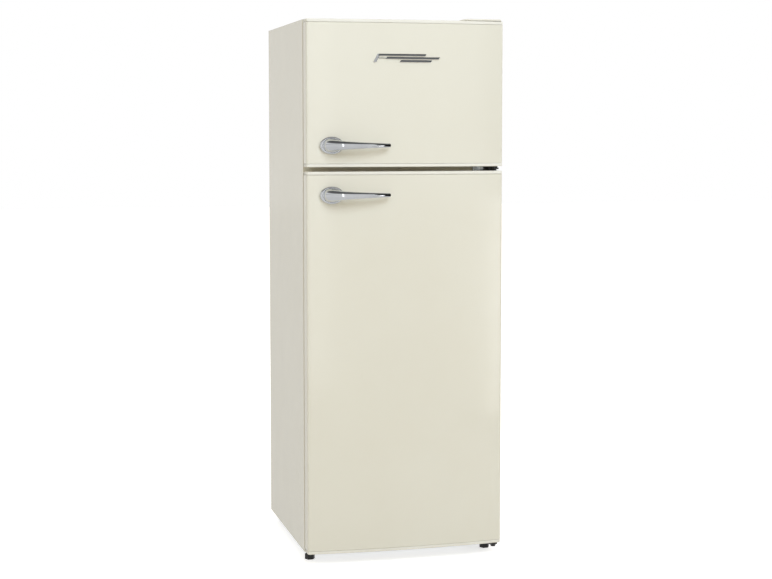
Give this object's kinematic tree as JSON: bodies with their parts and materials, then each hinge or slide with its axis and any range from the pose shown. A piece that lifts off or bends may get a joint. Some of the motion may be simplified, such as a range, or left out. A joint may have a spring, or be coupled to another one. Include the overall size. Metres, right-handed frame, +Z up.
{
  "type": "two-door refrigerator",
  "caption": "Retro cream two-door refrigerator with a top freezer, bowed doors, chrome lever handles, glass shelves, door bins and a crisper drawer.",
  "frame": {"origin": "centre of the bounding box's bottom face, on the floor the refrigerator stands on", "axes": "+Z up, the doors face -Y, the door hinges are on the +X side"},
  "size_m": [0.54, 0.6321, 1.4615],
  "materials": {
    "cream_enamel": "satin cream enamel",
    "cream_plastic": "moulded cream plastic, colour matched to the enamel",
    "back_sheet": "thin pale coated steel",
    "galvanised_steel": "galvanised",
    "foam": "rigid insulation foam",
    "white_liner": "vacuum-formed white plastic",
    "dark_rail": "dark warm grey",
    "black_steel": "semi-gloss black",
    "zinc_steel": "zinc plated",
    "aluminium_plate": "roll-bonded plate",
    "white_wire": "white dip coating",
    "shelf_glass": "tempered clear",
    "white_trim": "moulded white",
    "clear_plastic": "clear moulded",
    "black_plastic": "moulded black",
    "black_rubber": "matt",
    "gasket_rubber": "soft light grey seal",
    "copper": "drawn copper tube",
    "handle_chrome": "polished"
  },
  "bodies": {
    "cabinet": {"back_panel": "back_sheet", "base_plate": "galvanised_steel", "bottom_hinge_bracket": "black_steel", "cabinet_foam": "foam", "compressor": "black_steel", "compressor_grommets": "black_rubber", "compressor_tray": "galvanised_steel", "condenser": "black_steel", "cord_inlet": "black_rubber", "crisper_cover": "shelf_glass", "drip_tray": "black_plastic", "evaporator_plate": "aluminium_plate", "filter_drier": "copper", "freezer_liner": "white_liner", "freezer_shelf": "white_wire", "fridge_liner": "white_liner", "fridge_shelf_lower": "shelf_glass", "fridge_shelf_middle": "shelf_glass", "fridge_shelf_upper": "shelf_glass", "hinge_screws": "zinc_steel", "lamp_lens": "clear_plastic", "mid_rail": "dark_rail", "middle_hinge_bracket": "black_steel", "refrigerant_pipes": "copper", "shelf_trims": "white_trim", "side_panel_left": "cream_enamel", "side_panel_right": "cream_enamel", "starter_box": "black_plastic", "thermostat_housing": "white_trim", "top_hinge_bracket": "zinc_steel", "top_hinge_cover": "cream_plastic", "top_panel": "cream_enamel"},
    "freezer_door": {"freezer_door_bin": "clear_plastic", "freezer_door_bottom_cap": "cream_plastic", "freezer_door_foam": "foam", "freezer_door_gasket": "gasket_rubber", "freezer_door_liner": "white_liner", "freezer_door_skin": "cream_enamel", "freezer_door_top_cap": "cream_plastic", "freezer_handle_base": "handle_chrome", "freezer_handle_lever": "handle_chrome", "badge": "handle_chrome"},
    "fridge_door": {"fridge_bin_lower": "clear_plastic", "fridge_bin_middle": "clear_plastic", "fridge_bin_upper": "clear_plastic", "fridge_door_bottom_cap": "cream_plastic", "fridge_door_foam": "foam", "fridge_door_gasket": "gasket_rubber", "fridge_door_liner": "white_liner", "fridge_door_skin": "cream_enamel", "fridge_door_top_cap": "cream_plastic", "fridge_handle_base": "handle_chrome", "fridge_handle_lever": "handle_chrome"},
    "left_foot": {"front_foot_left": "black_plastic"},
    "right_foot": {"front_foot_right": "black_plastic"},
    "left_roller": {"rear_roller_left": "black_plastic"},
    "right_roller": {"rear_roller_right": "black_plastic"},
    "thermostat_dial": {"thermostat_knob": "white_trim"},
    "switch_plunger": {"light_switch_plunger": "white_trim"},
    "crisper": {"crisper_drawer": "clear_plastic"}
  },
  "joints": [
    {"name": "freezer_door_hinge", "type": "hinge", "parent": "cabinet", "child": "freezer_door", "pos_m": [0.254, -0.25, 1.261], "axis": [0, 0, 1], "range_deg": [0, 135]},
    {"name": "fridge_door_hinge", "type": "hinge", "parent": "cabinet", "child": "fridge_door", "pos_m": [0.254, -0.25, 0.5435], "axis": [0, 0, 1], "range_deg": [0, 135]},
    {"name": "crisper_slide", "type": "slide", "parent": "cabinet", "child": "crisper", "axis": [0, -1, 0], "range_m": [0, 0.15]},
    {"name": "light_switch_press", "type": "slide", "parent": "cabinet", "child": "switch_plunger", "axis": [0, -1, 0], "range_m": [0, 0.006]},
    {"name": "thermostat_turn", "type": "hinge", "parent": "cabinet", "child": "thermostat_dial", "pos_m": [0.112, -0.164, 1.008], "axis": [0, -1, 0], "range_deg": [0, 270]},
    {"name": "left_foot_turn", "type": "hinge", "parent": "cabinet", "child": "left_foot", "pos_m": [-0.249, -0.186, 0.02], "axis": [0, 0, 1], "continuous": true},
    {"name": "right_foot_turn", "type": "hinge", "parent": "cabinet", "child": "right_foot", "pos_m": [0.249, -0.186, 0.02], "axis": [0, 0, 1], "continuous": true},
    {"name": "left_roller_turn", "type": "hinge", "parent": "cabinet", "child": "left_roller", "pos_m": [-0.24, 0.261, 0.014], "axis": [1, 0, 0], "continuous": true},
    {"name": "right_roller_turn", "type": "hinge", "parent": "cabinet", "child": "right_roller", "pos_m": [0.24, 0.261, 0.014], "axis": [1, 0, 0], "continuous": true}
  ],
  "couplings": [
    {"joint": "crisper_slide", "follows": "fridge_door_hinge", "m_per_rad": 0.0636},
    {"joint": "light_switch_press", "follows": "fridge_door_hinge", "m_per_rad": 0.00254}
  ]
}
